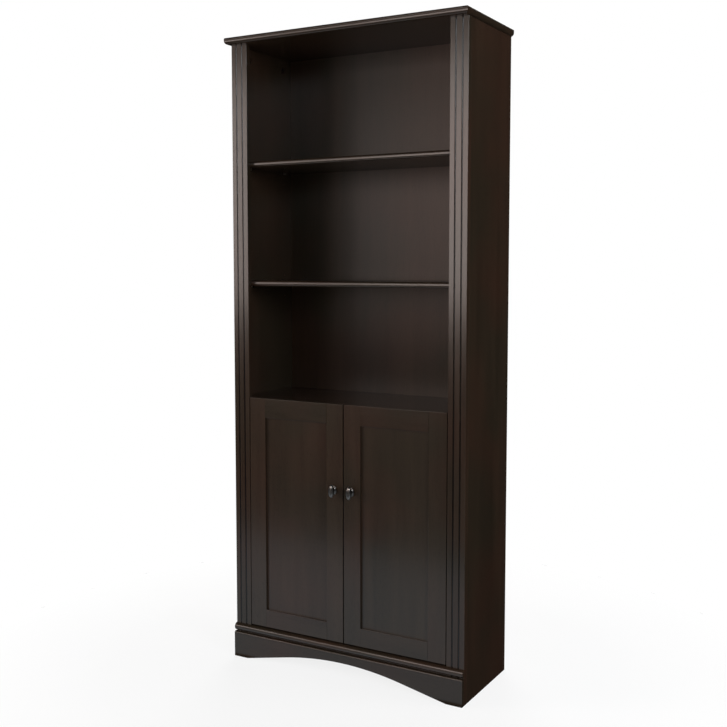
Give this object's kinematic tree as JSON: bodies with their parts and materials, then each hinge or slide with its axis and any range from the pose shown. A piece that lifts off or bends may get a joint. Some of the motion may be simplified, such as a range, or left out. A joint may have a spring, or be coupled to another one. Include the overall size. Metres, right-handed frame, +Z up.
{
  "type": "bookcase",
  "caption": "Tall open bookcase with loose shelves over a cupboard with framed, hinged doors, fluted pilasters and an arched base board.",
  "frame": {"origin": "on the floor, in the middle of the whole object's footprint", "axes": "+Z up, -Y towards the front with the doors, +X to the right seen from the front"},
  "size_m": [0.765, 0.315, 1.829],
  "materials": {
    "espresso_wood": "satin espresso laminate with faint upright grain",
    "back_sheet": "satin espresso printed hardboard",
    "aged_pewter": "dark satin metal, worn brighter on the crown",
    "nickel_steel": "nickel-plated pressed steel",
    "zinc_steel": "zinc-plated steel",
    "zinc_casting": "dull die casting",
    "brown_plastic": "matte",
    "beech_dowel": "raw turned beech",
    "clear_bumper": "soft translucent dome"
  },
  "bodies": {
    "carcass": {"back_nails": "zinc_steel", "back_panel_lower": "back_sheet", "back_panel_upper": "back_sheet", "base_apron": "espresso_wood", "base_bead": "espresso_wood", "batten_screws": "zinc_steel", "bottom_shelf": "espresso_wood", "cam_bolts": "zinc_steel", "cam_covers": "brown_plastic", "cam_locks": "zinc_casting", "fixed_shelf": "espresso_wood", "front_rail": "espresso_wood", "hinge_arm_screws": "zinc_steel", "hinge_arms": "nickel_steel", "hinge_batten_left": "espresso_wood", "hinge_batten_right": "espresso_wood", "kick_rail": "espresso_wood", "panel_dowels": "beech_dowel", "pegs_cupboard_shelf": "nickel_steel", "pegs_shelf_lower": "nickel_steel", "pegs_shelf_upper": "nickel_steel", "pilaster_dowels": "beech_dowel", "pilaster_left": "espresso_wood", "pilaster_right": "espresso_wood", "rear_rail": "espresso_wood", "side_panel_left": "espresso_wood", "side_panel_right": "espresso_wood", "top_panel": "espresso_wood"},
    "door_left": {"bumpers_left": "clear_bumper", "door_left_bottom_rail": "espresso_wood", "door_left_hinge_stile": "espresso_wood", "door_left_lock_stile": "espresso_wood", "door_left_panel": "espresso_wood", "door_left_top_rail": "espresso_wood", "hinge_cup_screws_left": "zinc_steel", "hinge_cups_left": "nickel_steel", "hinge_links_left": "nickel_steel", "knob_left": "aged_pewter", "knob_screw_left": "zinc_steel"},
    "door_right": {"bumpers_right": "clear_bumper", "door_right_bottom_rail": "espresso_wood", "door_right_hinge_stile": "espresso_wood", "door_right_lock_stile": "espresso_wood", "door_right_panel": "espresso_wood", "door_right_top_rail": "espresso_wood", "hinge_cup_screws_right": "zinc_steel", "hinge_cups_right": "nickel_steel", "hinge_links_right": "nickel_steel", "knob_right": "aged_pewter", "knob_screw_right": "zinc_steel"},
    "shelf_upper": {"shelf_upper": "espresso_wood"},
    "shelf_lower": {"shelf_lower": "espresso_wood"},
    "cupboard_shelf": {"cupboard_shelf": "espresso_wood"}
  },
  "joints": [
    {"name": "door_left_swing", "type": "hinge", "parent": "carcass", "child": "door_left", "pos_m": [-0.32, -0.1315, 0.445], "axis": [0, 0, -1], "range_deg": [0, 105]},
    {"name": "door_right_swing", "type": "hinge", "parent": "carcass", "child": "door_right", "pos_m": [0.32, -0.1315, 0.445], "axis": [0, 0, 1], "range_deg": [0, 105]},
    {"name": "shelf_upper_lift", "type": "slide", "parent": "carcass", "child": "shelf_upper", "axis": [0, 0, 1], "range_m": [0, 0.064]},
    {"name": "shelf_lower_lift", "type": "slide", "parent": "carcass", "child": "shelf_lower", "axis": [0, 0, 1], "range_m": [0, 0.064]},
    {"name": "cupboard_shelf_lift", "type": "slide", "parent": "carcass", "child": "cupboard_shelf", "axis": [0, 0, 1], "range_m": [0, 0.064]}
  ]
}
